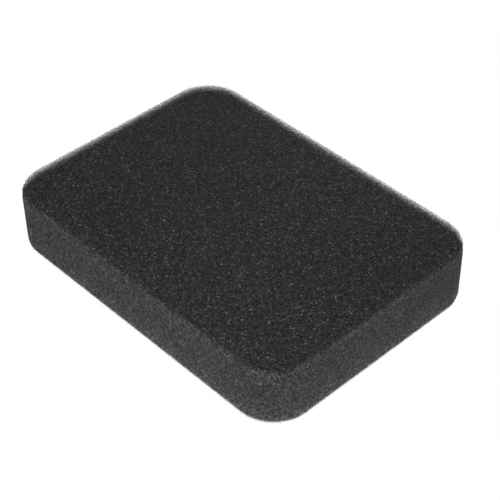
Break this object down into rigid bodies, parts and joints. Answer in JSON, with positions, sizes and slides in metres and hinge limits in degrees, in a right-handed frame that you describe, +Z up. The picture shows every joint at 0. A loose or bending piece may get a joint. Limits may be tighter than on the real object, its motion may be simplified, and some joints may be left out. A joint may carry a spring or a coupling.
{
  "type": "foam air filter element",
  "caption": "Flat rectangular slab of open-cell foam with round corners, which filters the air drawn into a small engine through its airbox.",
  "frame": {"origin": "middle of the underside, the face that lies on the airbox grid", "axes": "+X along the slab's length, +Y across its width, +Z up through its thickness towards the airbox cover"},
  "size_m": [0.125, 0.09, 0.0205],
  "materials": {
    "foam": "charcoal open-cell polyurethane foam, matt, fine pores with small glints on the cell walls"
  },
  "bodies": {
    "root": {"filter_foam": "foam"}
  },
  "joints": []
}
